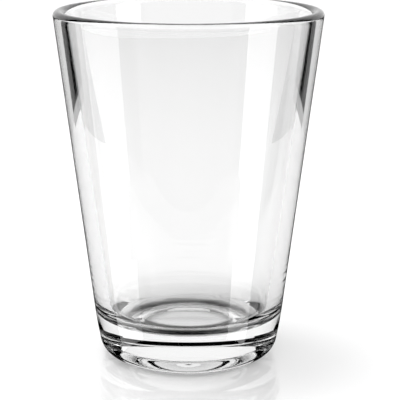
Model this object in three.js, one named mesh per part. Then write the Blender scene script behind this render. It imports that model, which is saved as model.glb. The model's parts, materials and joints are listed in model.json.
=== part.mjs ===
// A tapered water glass: one piece of clear soda-lime glass with a heavy floor.
// Millimetres, +Z up. The origin is on the glass's axis, on the surface it stands on.
import * as THREE from "three";

// Driving dimensions
const HEIGHT = 120; // standing surface to the crest of the rim
const RIM_DIAMETER = 91.3; // outside, where the straight flank would reach the crest's level
const FOOT_DIAMETER = 61.8; // outside, where the straight flank would reach the standing surface
const RIM_WALL = 4.2; // wall at the rim, measured level
const FLOOR_WALL = 5.5; // wall at the level of the floor, measured level
const RIM_ROUNDING = 1.9; // height over which the wall rounds over into the rim
const FLOOR_THICKNESS = 13.2; // standing surface to the lowest point of the inside
const DISH_RADIUS = 600; // the inside floor is a very shallow bowl of this radius
const FLOOR_FILLET = 8; // curve between the inside wall and the floor
const TUCK_TURN = 4.4; // degrees that the flank leans in more at the foot than above
const TUCK_RADIUS = 169; // the long curve that makes that turn
const HEEL_RADIUS = 6.4; // the round edge between the flank and the bearing ring
const RING_WIDTH = 2.5; // flat bearing ring that the glass stands on
const RING_ROUNDING = 1; // curve at the bearing ring's inner edge
const RECESS_DEPTH = 4; // how far the underside is pushed up inside the ring
const RECESS_TOP_DIAMETER = 32.4; // flat top of the recess, measured at the corner before rounding
const RECESS_ROUNDING = 4; // curve between that flat top and the slope down to the ring
const GLASS_COLOUR = 0xf3f6f5;

// Facets
const SEGMENTS = 72; // round the axis
const ARC_STEP = THREE.MathUtils.degToRad(9); // turn of a curve from one facet to the next
const FEWEST_STEPS = 4; // facets in a curve that turns little
const RIM_STEPS = 7; // facets in each half of the rim's crown
const CROWN_PULL = 0.5523; // makes a cubic curve follow a quarter of an ellipse

const rimRadius = RIM_DIAMETER / 2;
const footRadius = FOOT_DIAMETER / 2;
const taper = (rimRadius - footRadius) / HEIGHT;

// Radius of the straight outside flank at a height.
const flankAt = (z) => footRadius + taper * z;

// The inside wall is straight too, and a little steeper, so the wall thickens towards the floor.
const insideRimRadius = rimRadius - RIM_WALL;
const insideFloorRadius = flankAt(FLOOR_THICKNESS) - FLOOR_WALL;
const insideTaper = (insideRimRadius - insideFloorRadius) / (HEIGHT - FLOOR_THICKNESS);
const insideWallAt = (z) => insideRimRadius - insideTaper * (HEIGHT - z);

// Points of an arc, from one bearing seen from its centre to another.
function arc(centre, radius, from, to) {
  const steps = Math.max(FEWEST_STEPS, Math.ceil(Math.abs(to - from) / ARC_STEP));
  const curve = new THREE.EllipseCurve(centre.x, centre.y, radius, radius, from, to, to < from);
  return curve.getPoints(steps);
}

// Half of the rim's crown: it leaves a wall line and arrives level, or the other way round.
function crown(start, corner, end) {
  const leave = start.clone().lerp(corner, CROWN_PULL);
  const arrive = end.clone().lerp(corner, CROWN_PULL);
  return new THREE.CubicBezierCurve(start, leave, arrive, end).getPoints(RIM_STEPS);
}

// The heel and the long tuck above it touch the standing surface, each other and the flank without a
// corner. Their centres follow from that.
function foot() {
  const flankBearing = -Math.atan(taper);
  const tuckBearing = flankBearing - THREE.MathUtils.degToRad(TUCK_TURN);
  const radiusStep = TUCK_RADIUS - HEEL_RADIUS;
  const tuckCentre = new THREE.Vector2(0, HEEL_RADIUS - radiusStep * Math.sin(tuckBearing));
  const topHeight = tuckCentre.y + TUCK_RADIUS * Math.sin(flankBearing);
  tuckCentre.x = flankAt(topHeight) - TUCK_RADIUS * Math.cos(flankBearing);
  const heelCentre = new THREE.Vector2(tuckCentre.x + radiusStep * Math.cos(tuckBearing), HEEL_RADIUS);
  return {
    ringRadius: heelCentre.x,
    points: [
      ...arc(heelCentre, HEEL_RADIUS, -Math.PI / 2, tuckBearing),
      ...arc(tuckCentre, TUCK_RADIUS, tuckBearing, flankBearing),
    ],
  };
}

// The curve that rounds off the corner between two straight stretches.
function rounded(before, corner, after, radius) {
  const into = corner.clone().sub(before).normalize();
  const out = after.clone().sub(corner).normalize();
  const turn = Math.atan2(into.cross(out), into.dot(out));
  const start = corner.clone().addScaledVector(into, -radius * Math.tan(Math.abs(turn) / 2));
  const towardsCentre = new THREE.Vector2(-into.y, into.x).multiplyScalar(Math.sign(turn));
  const centre = start.clone().addScaledVector(towardsCentre, radius);
  const from = start.clone().sub(centre).angle();
  return arc(centre, radius, from, from + turn);
}

// The pushed-up underside: a flat top, a slope all round it, and the rounded edge of the bearing ring.
function underside(ringRadius) {
  const top = new THREE.Vector2(0, RECESS_DEPTH);
  const topCorner = new THREE.Vector2(RECESS_TOP_DIAMETER / 2, RECESS_DEPTH);
  const ringCorner = new THREE.Vector2(ringRadius - RING_WIDTH, 0);
  const ringEnd = new THREE.Vector2(ringRadius, 0);
  return [
    top,
    ...rounded(top, topCorner, ringCorner, RECESS_ROUNDING),
    ...rounded(topCorner, ringCorner, ringEnd, RING_ROUNDING),
  ];
}

// The rim: the outside wall rounds over to a crest midway across the wall, and down to the inside.
function rim() {
  const crest = new THREE.Vector2(rimRadius - RIM_WALL / 2, HEIGHT);
  const below = HEIGHT - RIM_ROUNDING;
  const outside = new THREE.Vector2(flankAt(below), below);
  const inside = new THREE.Vector2(insideWallAt(below), below);
  return [
    ...crown(outside, new THREE.Vector2(rimRadius, HEIGHT), crest),
    ...crown(crest, new THREE.Vector2(insideRimRadius, HEIGHT), inside),
  ];
}

// The floor inside: a fillet that touches the wall line and the shallow bowl, then the bowl itself.
function floor() {
  const wallBearing = -Math.atan(insideTaper);
  const bowlCentre = new THREE.Vector2(0, FLOOR_THICKNESS + DISH_RADIUS);
  // The fillet's centre lies on the wall line moved inwards by the fillet, and at the two radii's
  // difference from the bowl's centre.
  const inset = insideWallAt(bowlCentre.y) - FLOOR_FILLET / Math.cos(wallBearing);
  const reach = DISH_RADIUS - FLOOR_FILLET;
  const square = 1 + insideTaper ** 2;
  const drop = (inset * insideTaper + Math.sqrt(reach ** 2 * square - inset ** 2)) / square;
  const filletCentre = new THREE.Vector2(inset - insideTaper * drop, bowlCentre.y - drop);
  const joinBearing = filletCentre.clone().sub(bowlCentre).angle() - 2 * Math.PI;
  return [
    ...arc(filletCentre, FLOOR_FILLET, wallBearing, joinBearing),
    ...arc(bowlCentre, DISH_RADIUS, joinBearing, -Math.PI / 2),
  ];
}

// The glass's section, from the axis underneath, round the outside and the rim, to the axis inside.
function section() {
  const { ringRadius, points } = foot();
  const outline = [...underside(ringRadius), ...points, ...rim(), ...floor()];
  outline[0].x = 0;
  outline[outline.length - 1].x = 0;
  const touching = (point, index) => index > 0 && point.distanceTo(outline[index - 1]) < 1e-6;
  return outline.filter((point, index) => !touching(point, index));
}

function tumbler() {
  const geometry = new THREE.LatheGeometry(section(), SEGMENTS);
  geometry.rotateX(Math.PI / 2);
  const glass = new THREE.MeshStandardMaterial({
    color: GLASS_COLOUR,
    roughness: 0.03,
    metalness: 0,
    transparent: true,
    opacity: 0.35,
  });
  const mesh = new THREE.Mesh(geometry, glass);
  mesh.name = "tumbler";
  return mesh;
}

const waterGlass = new THREE.Group();
waterGlass.add(tumbler());
export default waterGlass;
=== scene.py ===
# %% [markdown]
# # A pressed water glass, photographed on white
# A tumbler is one piece of clear glass, so nothing on it is painted or put together. Everything that the
# eye sees is light that the glass bends or mirrors. The lesson therefore has two halves: the exact shape
# of the glass, and the small photo studio of white and black cards that draws its edges.

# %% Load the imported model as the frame
import json
import math

import bmesh
import bpy
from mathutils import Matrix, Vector, noise

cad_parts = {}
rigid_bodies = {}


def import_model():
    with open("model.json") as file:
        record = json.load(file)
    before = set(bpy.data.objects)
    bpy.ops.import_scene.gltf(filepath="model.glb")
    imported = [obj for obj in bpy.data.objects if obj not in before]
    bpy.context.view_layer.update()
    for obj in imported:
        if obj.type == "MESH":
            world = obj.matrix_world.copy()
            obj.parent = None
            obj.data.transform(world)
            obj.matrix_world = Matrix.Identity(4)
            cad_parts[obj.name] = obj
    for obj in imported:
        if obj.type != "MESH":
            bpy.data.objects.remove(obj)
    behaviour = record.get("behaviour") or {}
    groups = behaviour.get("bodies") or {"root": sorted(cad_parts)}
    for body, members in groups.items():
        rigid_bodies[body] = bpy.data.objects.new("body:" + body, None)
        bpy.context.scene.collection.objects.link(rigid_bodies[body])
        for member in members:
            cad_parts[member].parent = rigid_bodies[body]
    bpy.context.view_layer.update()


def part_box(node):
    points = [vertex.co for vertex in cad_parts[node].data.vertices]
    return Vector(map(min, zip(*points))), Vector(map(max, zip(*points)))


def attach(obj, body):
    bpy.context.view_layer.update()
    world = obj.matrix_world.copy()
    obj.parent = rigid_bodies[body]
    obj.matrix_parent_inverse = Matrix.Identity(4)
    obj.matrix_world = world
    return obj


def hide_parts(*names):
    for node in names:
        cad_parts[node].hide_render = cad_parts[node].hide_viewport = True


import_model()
scene = bpy.context.scene
MM = 0.001

# %% [markdown]
# ## The camera
# The rim shows as a flat ellipse and the foot as a rounder one, because a lens close by looks down more
# steeply at the foot. The two ellipses fix how far away and how high the camera stands. A long lens then
# gives the glass its size in the picture, and a small shift puts its axis a little left of the middle.

# %% Camera at the photograph's viewing angle
PICTURE = 400
AXIS_COLUMN = 188.55
FOCAL_PIXELS = 1390.9
SENSOR = 36.0
CAMERA_DISTANCE = 468.0
CAMERA_HEIGHT = 168.5
CAMERA_PITCH = math.radians(13.74)
NEAREST_SEEN = 10.0

camera_data = bpy.data.cameras.new("camera")
camera_data.sensor_fit = "HORIZONTAL"
camera_data.sensor_width = SENSOR
camera_data.lens = FOCAL_PIXELS / PICTURE * SENSOR
camera_data.shift_x = 0.5 - AXIS_COLUMN / PICTURE
camera_data.clip_start = NEAREST_SEEN * MM
camera = bpy.data.objects.new("camera", camera_data)
camera.location = (0, -CAMERA_DISTANCE * MM, CAMERA_HEIGHT * MM)
camera.rotation_euler = (math.pi / 2 - CAMERA_PITCH, 0, 0)
scene.collection.objects.link(camera)
scene.camera = camera
print("lens %.1f mm, shift %.4f" % (camera_data.lens, camera_data.shift_x))

# %% [markdown]
# ## The section of the glass
# A pressed tumbler is a solid of revolution: a plunger shapes the inside, a mould the outside. So the
# whole glass follows from one section, drawn in millimetres as a glassmaker would. The height comes from
# the frame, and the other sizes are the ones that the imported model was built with. The inside wall leans
# out a little more than the outside, so the wall thickens towards the floor.

# %% Driving dimensions in millimetres
tumbler_low, tumbler_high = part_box("tumbler")
HEIGHT = (tumbler_high.z - tumbler_low.z) / MM
RIM_DIAMETER = 91.3
FOOT_DIAMETER = 61.8
RIM_WALL = 4.2
FLOOR_WALL = 5.5
RIM_ROUNDING = 1.9
FLOOR_THICKNESS = 13.2
DISH_RADIUS = 600.0
FLOOR_FILLET = 8.0
TUCK_TURN = math.radians(4.4)
TUCK_RADIUS = 169.0
HEEL_RADIUS = 6.4
RING_WIDTH = 2.5
RING_ROUNDING = 1.0
RECESS_DEPTH = 4.0
RECESS_TOP_DIAMETER = 32.4
RECESS_ROUNDING = 4.0

rim_radius = RIM_DIAMETER / 2
foot_radius = FOOT_DIAMETER / 2
taper = (rim_radius - foot_radius) / HEIGHT
inside_rim_radius = rim_radius - RIM_WALL
inside_floor_radius = foot_radius + taper * FLOOR_THICKNESS - FLOOR_WALL
inside_taper = (inside_rim_radius - inside_floor_radius) / (HEIGHT - FLOOR_THICKNESS)


def flank_at(z):
    """Radius of the straight outside wall at a height."""
    return foot_radius + taper * z


def inside_at(z):
    """Radius of the straight inside wall at a height."""
    return inside_rim_radius - inside_taper * (HEIGHT - z)


print("taper %.2f degrees, walls %.1f to %.1f mm" % (math.degrees(math.atan(taper)), RIM_WALL, FLOOR_WALL))

# %% [markdown]
# Each stretch of the section is a straight line or an arc that starts where the last one ends, without a
# corner, because a corner in clear glass would show as a bright scratch. The section could be drawn by
# eye with many points. Arcs with a radius are better: the refraction inside the heavy foot depends on how
# smoothly the curves run into each other.

# %% Lines, arcs and rounded corners
STEP = 1.0
ARC_TURN = math.radians(2.5)
FEWEST_STEPS = 6


def line(start, end, step=STEP):
    """Points along a straight stretch, with both ends."""
    start, end = Vector(start), Vector(end)
    count = max(1, round((end - start).length / step))
    return [start.lerp(end, i / count) for i in range(count + 1)]


def arc(centre, radius, start, end):
    """Points along an arc, between two bearings seen from its centre."""
    count = max(FEWEST_STEPS, math.ceil(abs(end - start) / ARC_TURN))
    bearings = [start + (end - start) * i / count for i in range(count + 1)]
    return [Vector((centre[0] + radius * math.cos(b), centre[1] + radius * math.sin(b))) for b in bearings]


def rounded(before, corner, after, radius):
    """Points of the arc that rounds off a corner between two straight stretches."""
    into, out = (corner - before).normalized(), (after - corner).normalized()
    turn = into.angle_signed(out)
    touch = corner - into * (radius * math.tan(abs(turn) / 2))
    centre = touch + Vector((into.y, -into.x)) * radius * math.copysign(1, turn)
    first = touch - centre
    start = math.atan2(first.y, first.x)
    return arc(centre, radius, start, start - turn)


print("a quarter turn takes", len(arc((0, 0), HEEL_RADIUS, 0, math.pi / 2)), "points")

# %% [markdown]
# The foot is where the work is. The flank leans in a little more near the table, then a round heel rolls
# under to a narrow flat ring, the only part that touches the table. Inside the ring the mould pushes the
# underside up, so that the glass stands on its ring and never rocks on a bulge.

# %% Foot, heel, bearing ring and recess
RING_STEP = STEP / 3

flank_bearing = -math.atan(taper)
tuck_bearing = flank_bearing - TUCK_TURN
radius_step = TUCK_RADIUS - HEEL_RADIUS
tuck_height = HEEL_RADIUS - radius_step * math.sin(tuck_bearing)
tuck_top = tuck_height + TUCK_RADIUS * math.sin(flank_bearing)
tuck_axis = flank_at(tuck_top) - TUCK_RADIUS * math.cos(flank_bearing)
heel_axis = tuck_axis + radius_step * math.cos(tuck_bearing)
ring_inner = heel_axis - RING_WIDTH

recess_centre = Vector((0, RECESS_DEPTH))
recess_corner = Vector((RECESS_TOP_DIAMETER / 2, RECESS_DEPTH))
ring_corner = Vector((ring_inner, 0))
ring_end = Vector((heel_axis, 0))
recess_shoulder = rounded(recess_centre, recess_corner, ring_corner, RECESS_ROUNDING)
ring_edge = rounded(recess_corner, ring_corner, ring_end, RING_ROUNDING)
underside = [
    *line(recess_centre, recess_shoulder[0]),
    *recess_shoulder,
    *line(recess_shoulder[-1], ring_edge[0]),
    *ring_edge,
    *line(ring_edge[-1], ring_end, RING_STEP),
]
heel = arc((heel_axis, HEEL_RADIUS), HEEL_RADIUS, -math.pi / 2, tuck_bearing)
tuck = arc((tuck_axis, tuck_height), TUCK_RADIUS, tuck_bearing, flank_bearing)
print("bearing ring %.1f to %.1f mm radius" % (ring_inner, heel_axis))

# %% [markdown]
# The rim is fire-polished: a flame melts the cut edge until it rounds over, a little flatter than a half
# circle. So each half of it is a quarter of an ellipse, which a cubic curve follows closely when its
# handles reach a bit over half of the way to the corner.

# %% Rim
CROWN_PULL = 0.5523
CROWN_STEPS = 20


def crown(start, corner, end):
    """A quarter of an ellipse: it leaves one line and arrives on another."""
    start, corner, end = Vector(start), Vector(corner), Vector(end)
    leave, arrive = start.lerp(corner, CROWN_PULL), end.lerp(corner, CROWN_PULL)
    points = []
    for i in range(CROWN_STEPS + 1):
        t = i / CROWN_STEPS
        s = 1 - t
        points.append(start * s**3 + leave * 3 * s * s * t + arrive * 3 * s * t * t + end * t**3)
    return points


below_rim = HEIGHT - RIM_ROUNDING
crest = (rim_radius - RIM_WALL / 2, HEIGHT)
rim = [
    *crown((flank_at(below_rim), below_rim), (rim_radius, HEIGHT), crest),
    *crown(crest, (inside_rim_radius, HEIGHT), (inside_at(below_rim), below_rim)),
]
print("rim %.1f mm wide, rounded over %.1f mm" % (RIM_WALL, RIM_ROUNDING))

# %% [markdown]
# Inside, the plunger leaves a wide fillet and a floor that is very slightly dished, so that the last drop
# runs to the middle. The fillet's centre lies one fillet radius inside the wall line, and as far from the
# dish's centre as the two radii differ. That gives a square equation, solved here for the drop from the
# dish's centre.

# %% Fillet, floor and the whole section
TOUCHING = 1e-4

wall_bearing = -math.atan(inside_taper)
dish_height = FLOOR_THICKNESS + DISH_RADIUS
inset = inside_at(dish_height) - FLOOR_FILLET / math.cos(wall_bearing)
reach = DISH_RADIUS - FLOOR_FILLET
square = 1 + inside_taper**2
drop = (inset * inside_taper + math.sqrt(reach**2 * square - inset**2)) / square
fillet_axis, fillet_height = inset - inside_taper * drop, dish_height - drop
join_bearing = math.atan2(fillet_height - dish_height, fillet_axis)
fillet = arc((fillet_axis, fillet_height), FLOOR_FILLET, wall_bearing, join_bearing)
dish = line(fillet[-1], (0, FLOOR_THICKNESS))
for point in dish:
    point.y = dish_height - math.sqrt(DISH_RADIUS**2 - point.x**2)

flank, inside_wall = line(tuck[-1], rim[0]), line(rim[-1], fillet[0])
section = []
for point in [*underside, *heel, *tuck, *flank, *rim, *inside_wall, *fillet, *dish]:
    if not section or (point - section[-1]).length > TOUCHING:
        section.append(point)
print("section of", len(section), "points")

# %% [markdown]
# ## Marks of the press
# Three marks are real shapes, not bump. The plunger is cooler than the glass and leaves faint chill
# ripples low on the inside wall, which drift a little round the glass. The wall is never perfectly even,
# so light bends a little unevenly through it. The bearing ring has fine shallow flutes, so that a wet
# glass doesn't stick to the table. Their depths, a few hundredths of a millimetre, are guesses that are
# typical of pressed glass.

# %% Where the press leaves a point
RIPPLES_FROM, RIPPLES_TO = 17.0, 38.0
RIPPLE_SPACING = 2.1
RIPPLE_HEIGHT = 0.035
RIPPLE_DRIFT = 4.2
DRIFT_SIZE = 9.0
UNEVENNESS = 0.03
UNEVEN_SIZE = 26.0
FADE_LOW, FADE_HIGH = 8.0, 10.0
EVEN_RIM = 8.0
FLUTES = 60
FLUTE_DEPTH = 0.03

inside_from = section.index(Vector(crest))


def pressed(index, bearing):
    """Where the press leaves one point of the section, at a bearing round the axis."""
    radius, height = section[index]
    around = Vector((math.cos(bearing), math.sin(bearing), 0))
    spot = around * radius + Vector((0, 0, height))
    above_floor = min(1, max(0, (height - RIPPLES_FROM) / FADE_LOW))
    below_crest = min(1, max(0, (HEIGHT - EVEN_RIM - height) / FADE_HIGH))
    wall = above_floor * below_crest
    radius += UNEVENNESS * wall * noise.noise(spot / UNEVEN_SIZE)
    if index > inside_from and RIPPLES_FROM < height < RIPPLES_TO:
        fade = math.sin(math.pi * (height - RIPPLES_FROM) / (RIPPLES_TO - RIPPLES_FROM)) ** 2
        drift = RIPPLE_DRIFT * noise.noise(spot / DRIFT_SIZE)
        radius += RIPPLE_HEIGHT * fade * math.sin(2 * math.pi * height / RIPPLE_SPACING + drift)
    if height < TOUCHING and ring_inner < radius < heel_axis:
        across = math.sin(math.pi * (radius - ring_inner) / RING_WIDTH)
        height += FLUTE_DEPTH * across * (0.5 - 0.5 * math.cos(FLUTES * bearing))
    return around * radius + Vector((0, 0, height))


print("inside starts at point", inside_from, "of the section")

# %% [markdown]
# ## Turning the section
# Blender's Screw modifier could turn the section, but the marks of the press need every point's place, so
# the rings of vertices are worked out here. The first and last points of the section lie on the axis, so
# each is a single vertex with a fan of triangles round it, and the mesh is closed.

# %% Rings of vertices and their faces
SEGMENTS = 240

bearings = [2 * math.pi * k / SEGMENTS for k in range(SEGMENTS)]
vertices = [Vector((0, 0, section[0].y))]
for i in range(1, len(section) - 1):
    vertices += [pressed(i, b) for b in bearings]
vertices.append(Vector((0, 0, section[-1].y)))


def at(i, k):
    """Index of the vertex on ring i of the section, at step k round the axis."""
    return 1 + (i - 1) * SEGMENTS + k % SEGMENTS


faces = []
last = len(section) - 2
for k in range(SEGMENTS):
    faces.append((0, at(1, k + 1), at(1, k)))
    faces += [(at(i, k), at(i, k + 1), at(i + 1, k + 1), at(i + 1, k)) for i in range(1, last)]
    faces.append((at(last, k), at(last, k + 1), len(vertices) - 1))
print(len(vertices), "vertices,", len(faces), "faces")

# %% [markdown]
# ## Colours and nodes
# Colours are written as sRGB hex and turned to linear once. One function adds a shader node, sets it and
# links it, so each material below reads as a short list of what feeds what. The same could be clicked
# together in the shader editor, but a list can be read and run again.

# %% Helpers for colours and nodes
def linear(hex_colour):
    """An sRGB hex colour as linear RGBA."""
    channels = [int(hex_colour[i:i + 2], 16) / 255 for i in (1, 3, 5)]
    return [c / 12.92 if c <= 0.04045 else ((c + 0.055) / 1.055) ** 2.4 for c in channels] + [1.0]


def add(tree, kind, settings=None, **inputs):
    """Adds a node. Settings are its properties; an input is a value, or another node's output socket."""
    node = tree.nodes.new("ShaderNode" + kind)
    for name, value in (settings or {}).items():
        setattr(node, name, value)
    for name, value in inputs.items():
        key = int(name[1:]) if name[0] == "_" else name.replace("_", " ")
        if isinstance(value, bpy.types.NodeSocket):
            tree.links.new(value, node.inputs[key])
        else:
            node.inputs[key].default_value = value
    return node


def new_tree(name):
    """A material with an empty node tree."""
    material = bpy.data.materials.new(name)
    material.use_nodes = True
    material.node_tree.nodes.clear()
    return material, material.node_tree


print("mid grey #808080 is %.3f in linear light" % linear("#808080")[0])

# %% [markdown]
# ## Soda-lime glass
# Common drinking glass is soda-lime glass, pressed hot and then fire-polished, so its skin is as smooth
# as a liquid's: no roughness at all, only very shallow waves. Its refractive index is about 1.52. That
# is what gives the eye the bright and dark bands in the heavy foot. In a wall of a few millimetres the
# iron in the sand shows as next to no colour, so the colour is almost white.

# %% Soda-lime glass, pressed and fire-polished
GLASS_IOR = 1.52
GLASS_COLOUR = "#FEFEFE"
POLISH_WAVE = 14.0
POLISH_DEPTH = 0.004

soda_lime_glass, tree = new_tree("soda_lime_glass_fire_polished")
coordinates = add(tree, "TexCoord")
waves = add(
    tree,
    "TexNoise",
    Vector=coordinates.outputs["Object"],
    Scale=1 / (POLISH_WAVE * MM),
    Detail=1.0,
)
skin = add(tree, "Bump", Height=waves.outputs[0], Distance=POLISH_DEPTH * MM, Strength=1.0)
glass = add(
    tree,
    "BsdfPrincipled",
    Base_Color=linear(GLASS_COLOUR),
    Roughness=0.0,
    IOR=GLASS_IOR,
    Transmission_Weight=1.0,
    Normal=skin.outputs[0],
)
add(tree, "OutputMaterial", Surface=glass.outputs[0])
print("glass with index", GLASS_IOR)

# %% [markdown]
# ## The tumbler
# Foot, wall and rim are one piece, so they are one closed mesh. It is measured before it goes on: glass
# with an open edge would bend light wrongly, and the volume times 2.5 g/ml gives the weight in the hand.

# %% The tumbler as one closed mesh
GLASS_DENSITY = 2.5
MILLILITRE = (10 * MM) ** 3


def mesh_object(name, corners, polygons, material, smooth=False):
    """An object from corners in millimetres."""
    mesh = bpy.data.meshes.new(name)
    mesh.from_pydata([Vector(c) * MM for c in corners], [], polygons)
    mesh.polygons.foreach_set("use_smooth", [smooth] * len(mesh.polygons))
    mesh.materials.append(material)
    made = bpy.data.objects.new(name, mesh)
    scene.collection.objects.link(made)
    return made


tumbler = mesh_object("pressed_tumbler", vertices, faces, soda_lime_glass, smooth=True)
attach(tumbler, "root")
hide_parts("tumbler")

measured = bmesh.new()
measured.from_mesh(tumbler.data)
open_edges = sum(not edge.is_manifold for edge in measured.edges)
volume = measured.calc_volume() / MILLILITRE
measured.free()
print("open edges: %d, volume %.1f ml, weight %.0f g" % (open_edges, volume, volume * GLASS_DENSITY))

# %% [markdown]
# ## The studio
# Glass on white is lit by its surroundings: the photographer sets white and black cards round it, and
# their bent and mirrored images are all that shows. White ones fill the glass, and black ones and gaps
# between them draw its lines. The whole set hangs on one stand that always faces the camera, as if the
# glass were turned on a turntable, so the glass is drawn in the same way from every side.

# %% A stand that faces the camera
stand = bpy.data.objects.new("studio_stand", None)
scene.collection.objects.link(stand)
facing = stand.constraints.new("LOCKED_TRACK")
facing.target = camera
facing.track_axis = "TRACK_NEGATIVE_Y"
facing.lock_axis = "LOCK_Z"
print("the stand turns about Z to face the", facing.target.name)

# %% [markdown]
# A card is a sheet that sends out an even light: 1 is white paper, 0 is black velvet. The camera doesn't
# see it directly, and it casts no shadow. It shows only in bent light, in mirrored light, or in both, so
# a card can set one line on the glass and leave most of the others alone. Cards stand round the glass or
# lie level, so distances, two bearings from the camera and heights say where each one is.

# %% Helpers for cards
CARD_STEPS = 8


def curve(distance, start, end, height):
    """Points of a level curve round the axis, between bearings in degrees, right of the camera positive."""
    turns = [math.radians(start + (end - start) * i / CARD_STEPS) for i in range(CARD_STEPS + 1)]
    return [(distance * math.sin(t), -distance * math.cos(t), height) for t in turns]


def upright(distance, start, end, low, high):
    """Corners of a standing card, curved round the axis."""
    return curve(distance, start, end, low) + curve(distance, start, end, high)[::-1]


def sector(near, far, start, end, height):
    """Corners of a level card, cut as a sector of a ring."""
    return curve(near, start, end, height) + curve(far, start, end, height)[::-1]


def rise(distance, elevation):
    """Height that is seen under an elevation in degrees, from the foot of the glass."""
    return distance * math.tan(math.radians(elevation))


def card(name, corners, level, bent=True, mirrored=True):
    """A studio card that shows in bent light, in mirrored light, or in both."""
    material, tree = new_tree(name)
    shine = add(tree, "Emission", Color=linear("#FFFFFF"), Strength=level)
    add(tree, "OutputMaterial", Surface=shine.outputs[0])
    made = mesh_object(name, corners, [tuple(range(len(corners)))], material)
    made.parent = stand
    made.visible_camera = False
    made.visible_shadow = False
    made.visible_diffuse = False
    made.visible_transmission = bent
    made.visible_glossy = mirrored


print("a card has", 2 * (CARD_STEPS + 1), "corners")

# %% [markdown]
# Behind the table a white panel hangs clear of it, with a dark gap below. Bent in the foot, the gap is
# the black band and the panel is the white block under it. A strip at the horizon closes the lowest part
# of the gap. A panel higher up shows in the round image of the recess, and the gap between the two panels
# draws that image's dark outline. Two cards stand nearer to the glass. Seen from the foot they cover only
# the panel, so the gap stays dark. Seen from the rim they are at eye level, and keep the upper wall pale.

# %% White cards behind the glass
WHITE = 1.0
ROOM = 1600.0
BEHIND = (147, 213)
STRIP_FROM, STRIP_TO = -0.5, 3.0
PANEL_FROM, PANEL_TO = 17.7, 32.0
TOP_HEIGHT = 1250.0
TOP_STEEP, TOP_FLAT = 68.0, 42.0
TOP_SPREAD = (120, 240)
TOP_LEVEL = 0.95
NEAR_DISTANCE, NEAR_FROM, NEAR_TO = 250.0, 79.0, 176.0
RIM_DISTANCE, RIM_FROM, RIM_TO = 400.0, 132.0, 250.0

panel = upright(ROOM, *BEHIND, rise(ROOM, PANEL_FROM), rise(ROOM, PANEL_TO))
strip = upright(ROOM, *BEHIND, rise(ROOM, STRIP_FROM), rise(ROOM, STRIP_TO))
top_near, top_far = TOP_HEIGHT / rise(1, TOP_STEEP), TOP_HEIGHT / rise(1, TOP_FLAT)
card("back_panel", panel, WHITE)
card("back_strip", strip, WHITE, mirrored=False)
card("top_panel", sector(top_near, top_far, *TOP_SPREAD, TOP_HEIGHT), TOP_LEVEL)
card("near_card", upright(NEAR_DISTANCE, *BEHIND, NEAR_FROM, NEAR_TO), WHITE, mirrored=False)
card("rim_card", upright(RIM_DISTANCE, *BEHIND, RIM_FROM, RIM_TO), WHITE, mirrored=False)
print("dark gap from %.0f to %.1f degrees, %d cards so far" % (STRIP_TO, PANEL_FROM, len(stand.children)))

# %% [markdown]
# Light that meets the wall close to its edge is turned round inside the glass and comes from far out on
# the table, at the side. So the black lines in the upper walls are drawn by black sheets that lie there,
# with a low black flag at their far end. A grey strip nearer to the glass and a pale sheet towards the
# back soften the line's lower end and its inner side.

# %% Dark sheets at both sides
BLACK = 0.0
GREY = 0.86
DUSK = 0.5
SHEET_LIFT = 0.2
SHEET_END = 0.99 * ROOM
BLACK_BEARINGS = (115, 144)
GREY_BEARINGS = (144, 163)
BLACK_FROM, DUSK_FROM, GREY_FROM = 340.0, 310.0, 325.0
FLAG_HEIGHT = 250.0

for side, name in ((-1, "left"), (1, "right")):
    dark = [side * bearing for bearing in BLACK_BEARINGS]
    pale = [side * bearing for bearing in GREY_BEARINGS]
    card("grey_sheet_" + name, sector(GREY_FROM, SHEET_END, *pale, SHEET_LIFT), GREY, mirrored=False)
    card("black_sheet_" + name, sector(BLACK_FROM, SHEET_END, *dark, SHEET_LIFT), BLACK, mirrored=False)
    card("dusk_sheet_" + name, sector(DUSK_FROM, BLACK_FROM, *dark, SHEET_LIFT), DUSK, mirrored=False)
    card("black_flag_" + name, upright(SHEET_END, *dark, 0, FLAG_HEIGHT), BLACK, mirrored=False)
print("black sheets from %.0f mm, %d cards so far" % (BLACK_FROM, len(stand.children)))

# %% [markdown]
# The outside of the wall mirrors what stands beside and in front of it. Two tall softboxes give the two
# white stripes down the wall, and a grey card in front gives the pale tint between them. The table itself
# is left out of mirrored light, and two level sheets stand in for it. One, before the glass, is grey. The
# other, behind it, is dim, and mirrored at the very edge of the wall it draws the thin outline. The
# backdrop is what the polished table mirrors round the glass.

# %% Cards whose mirror image shows on the glass
SOFTBOX_DISTANCE = 600.0
SOFTBOX_LOW, SOFTBOX_HIGH = -380.0, 900.0
LEFT_BOX, LEFT_LEVEL = (-60, -99), 2.3
RIGHT_BOX, RIGHT_LEVEL = (50, 78), 3.2
FRONT_DISTANCE, FRONT_LOW, FRONT_HIGH = 900.0, -500.0, 900.0
FRONT, FRONT_GREY = (-45, 45), 0.42
BACKDROP_DISTANCE, BACKDROP_HIGH = 0.98 * ROOM, 1600.0
BACKDROP = (125, 235)
MIRROR_DROP = -0.1
DIM_FROM, DIM_BEARINGS, DIM_LEVEL = 60.0, (152, 208), 0.15
GLOW_FROM, GLOW_TO, GLOW_BEARINGS, GLOW_LEVEL = 110.0, 185.0, (-58, 48), 0.42

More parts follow.
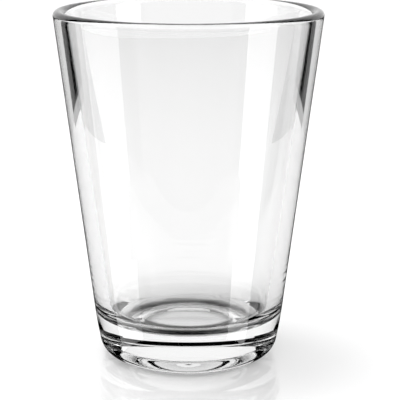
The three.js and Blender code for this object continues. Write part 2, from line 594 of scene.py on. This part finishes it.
for name, box, level in (("softbox_left", LEFT_BOX, LEFT_LEVEL), ("softbox_right", RIGHT_BOX, RIGHT_LEVEL)):
    card(name, upright(SOFTBOX_DISTANCE, *box, SOFTBOX_LOW, SOFTBOX_HIGH), level, bent=False)
card("front_card", upright(FRONT_DISTANCE, *FRONT, FRONT_LOW, FRONT_HIGH), FRONT_GREY, bent=False)
card("backdrop", upright(BACKDROP_DISTANCE, *BACKDROP, 0, BACKDROP_HIGH), WHITE, bent=False)
card("table_mirror_back", sector(DIM_FROM, ROOM, *DIM_BEARINGS, MIRROR_DROP), DIM_LEVEL, bent=False)
card("table_mirror", sector(GLOW_FROM, GLOW_TO, *GLOW_BEARINGS, MIRROR_DROP), GLOW_LEVEL, bent=False)
print(len(stand.children), "cards in all")

# %% [markdown]
# ## The table
# The table is a white acrylic sheet, cast and polished. Light soaks into such a sheet and comes out
# again, so it looks lit from within. Round a clear foot that light is uneven: the foot gathers some in
# the middle and leaves a ring of shade. A path tracer could find this by itself, but only slowly and with
# noise, so the shade that the glass bends into view is painted here, over the distance from the axis.

# %% Shade under and round the foot
SHADE_REACH = 300.0
SHADE_FRONT = [(0, 0.02), (32, 0.02), (38, 0.6), (90, 0.75), (300, 1.0)]
SHADE_BACK = [
    (0, 0.02),
    (25, 0.02),
    (26.5, 0.6),
    (29.5, 0.6),
    (30.5, 0.2),
    (32, 0.2),
    (34, 0.8),
    (44, 0.95),
    (300, 1.0),
]
BACK_FROM, BACK_TO = 5.0, 15.0

white_acrylic, tree = new_tree("white_acrylic_sheet_polished")
smooth_step = {"interpolation_type": "SMOOTHSTEP"}
place = add(tree, "TexCoord").outputs["Object"]
along = add(tree, "SeparateXYZ", _0=place).outputs["Y"]
distance = add(tree, "VectorMath", {"operation": "LENGTH"}, _0=place)
spread = add(tree, "Math", {"operation": "DIVIDE"}, _0=distance.outputs["Value"], _1=SHADE_REACH * MM)


def ramp(stops):
    """A ramp over the distance from the axis, from stops of distance and level."""
    made = add(tree, "ValToRGB", _0=spread.outputs[0])
    for radius, _ in stops[:-2]:
        made.color_ramp.elements.new(radius / SHADE_REACH)
    for stop, (radius, level) in zip(made.color_ramp.elements, stops):
        stop.position = radius / SHADE_REACH
        stop.color = (level, level, level, 1)
    return made.outputs[0]


# Behind the glass the painted shade has its own ramp: a painted light ring under the heel, where the heel
# would gather light, and a painted dark ring just outside it.
behind = add(tree, "MapRange", smooth_step, _0=along, _1=BACK_FROM * MM, _2=BACK_TO * MM)
ground = add(tree, "Mix", _0=behind.outputs[0], _2=ramp(SHADE_FRONT), _3=ramp(SHADE_BACK))
print("shade painted in", len(SHADE_FRONT) + len(SHADE_BACK), "stops")

# %% [markdown]
# A heavy foot works like a lens and gathers light into a bright patch beneath it, here a little behind
# the middle. The patch is painted with a soft edge, and where it is lighter than the shade it wins.

# %% Light patch under the foot
PATCH_CENTRE = (0, 8, 0)
PATCH_FROM, PATCH_TO = 12.0, 18.0
PATCH_LEVEL = 5.5

from_patch = add(tree, "VectorMath", {"operation": "DISTANCE"}, _0=place, _1=Vector(PATCH_CENTRE) * MM)
patch = add(
    tree,
    "MapRange",
    smooth_step,
    _0=from_patch.outputs["Value"],
    _1=PATCH_FROM * MM,
    _2=PATCH_TO * MM,
    _3=PATCH_LEVEL,
    _4=0.0,
)
shade = add(tree, "Math", {"operation": "MAXIMUM"}, _0=ground.outputs[0], _1=patch.outputs[0])
print("light patch of %.0f mm across" % (2 * PATCH_TO))

# %% [markdown]
# Three shares make the sheet. Its own light gives the even white. A matt share is lit by the lamp and
# carries the soft shadow beside the glass. A thin polish mirrors the foot. Rays from the camera see the
# whole of the sheet's own light. Rays that the glass bends see less of it, with the painted shade, and
# a painted fall-off darkens it further in front of the glass, towards the camera.

# %% White acrylic, cast and polished
SELF_WHITE = 0.32
BENT_WHITE = 0.12
MATT_WHITE = "#CCCCCC"
POLISH_COLOUR = "#787878"
POLISH_ROUGHNESS = 0.015
FADE_FROM, FADE_TO = -160.0, -80.0
FADE_LEVEL = 0.25

path = add(tree, "LightPath")
fade = add(
    tree,
    "MapRange",
    smooth_step,
    _0=along,
    _1=FADE_FROM * MM,
    _2=FADE_TO * MM,
    _3=FADE_LEVEL,
    _4=1.0,
)
times = {"operation": "MULTIPLY"}
shaded = add(tree, "Math", times, _0=fade.outputs[0], _1=shade.outputs[0])
bent_level = add(tree, "Math", times, _0=shaded.outputs[0], _1=path.outputs["Is Transmission Ray"])
bent_white = add(tree, "Math", times, _0=bent_level.outputs[0], _1=BENT_WHITE / SELF_WHITE)
seen = add(tree, "Math", {"operation": "MAXIMUM"}, _0=bent_white.outputs[0], _1=path.outputs["Is Camera Ray"])
strength = add(tree, "Math", times, _0=seen.outputs[0], _1=SELF_WHITE)
shine = add(tree, "Emission", Color=linear("#FFFFFF"), Strength=strength.outputs[0])
matt = add(tree, "BsdfDiffuse", Color=linear(MATT_WHITE))
polish = add(tree, "BsdfGlossy", Color=linear(POLISH_COLOUR), Roughness=POLISH_ROUGHNESS)
body = add(tree, "AddShader", _0=matt.outputs[0], _1=polish.outputs[0])
both = add(tree, "AddShader", _0=shine.outputs[0], _1=body.outputs[0])
add(tree, "OutputMaterial", Surface=both.outputs[0])
print("the sheet sends out %.2f of white to the camera, %.2f through the glass" % (SELF_WHITE, BENT_WHITE))

# %% [markdown]
# The sheet itself is flat, so one face is enough. It lies a hair below the bearing ring, so that the two
# don't share a plane. Straight behind the glass it ends just before the backdrop.

# %% The table
TABLE_REACH = 1560.0
TABLE_DROP = -0.05

sides = ((-1, -1), (1, -1), (1, 1), (-1, 1))
table_corners = [(x * TABLE_REACH, y * TABLE_REACH, TABLE_DROP) for x, y in sides]
table = mesh_object("white_table", table_corners, [(0, 1, 2, 3)], white_acrylic)
table.parent = stand
table.visible_glossy = False
print("table of %.2f m" % (2 * TABLE_REACH * MM))

# %% [markdown]
# ## Lamp and surroundings
# One soft lamp, above and a little to the left, lights the matt share of the table, and its shadow falls
# to the right. It could also be a sun, but only a lamp with a size gives a shadow that softens away from
# the foot. The world is plain white for the camera, so the table runs into it without a horizon. Its
# light fills the shadow, and for the glass it is dark, which is what makes the white cards stand out.

# %% Lamp
LAMP_POWER = 4.8
LAMP_WIDTH, LAMP_DEPTH = 500.0, 450.0
LAMP_PLACE = Vector((-200, 100, 950))
LAMP_AIM = Vector((0, 0, 30))

lamp_data = bpy.data.lights.new("left_lamp", "AREA")
lamp_data.shape = "RECTANGLE"
lamp_data.size = LAMP_WIDTH * MM
lamp_data.size_y = LAMP_DEPTH * MM
lamp_data.energy = LAMP_POWER
lamp = bpy.data.objects.new("left_lamp", lamp_data)
lamp.location = LAMP_PLACE * MM
lamp.rotation_euler = (LAMP_AIM - LAMP_PLACE).to_track_quat("-Z", "Y").to_euler()
lamp.parent = stand
lamp.visible_glossy = False
lamp.visible_transmission = False
scene.collection.objects.link(lamp)
print("lamp of %.1f W, %.0f mm above the table" % (LAMP_POWER, LAMP_PLACE.z))

# %% [markdown]
# Light crosses the tumbler through up to four skins and is turned round inside the foot several times, so
# the path tracer gets many bounces. Light gathered by the foot on to the table is left out, because the
# painted shade already stands for it.

# %% World, and how far light is followed
AMBIENT = 0.82
ROOM_LEVEL = 0.0
BOUNCES = 24
MIRROR_BOUNCES = 16

world = bpy.data.worlds.new("dim_room")
scene.world = world
world.use_nodes = True
tree = world.node_tree
tree.nodes.clear()
path = add(tree, "LightPath")
ambient = add(tree, "Mix", _0=path.outputs["Is Diffuse Ray"], _2=ROOM_LEVEL, _3=AMBIENT)
level = add(tree, "Mix", _0=path.outputs["Is Camera Ray"], _2=ambient.outputs[0], _3=WHITE)
room = add(tree, "Background", Color=linear("#FFFFFF"), Strength=level.outputs[0])
add(tree, "OutputWorld", Surface=room.outputs[0])

scene.view_settings.view_transform = "Standard"
scene.cycles.max_bounces = BOUNCES
scene.cycles.transmission_bounces = BOUNCES
scene.cycles.glossy_bounces = MIRROR_BOUNCES
scene.cycles.caustics_refractive = False
scene.cycles.use_denoising = True
print("ambient %.2f, %d bounces" % (AMBIENT, BOUNCES))
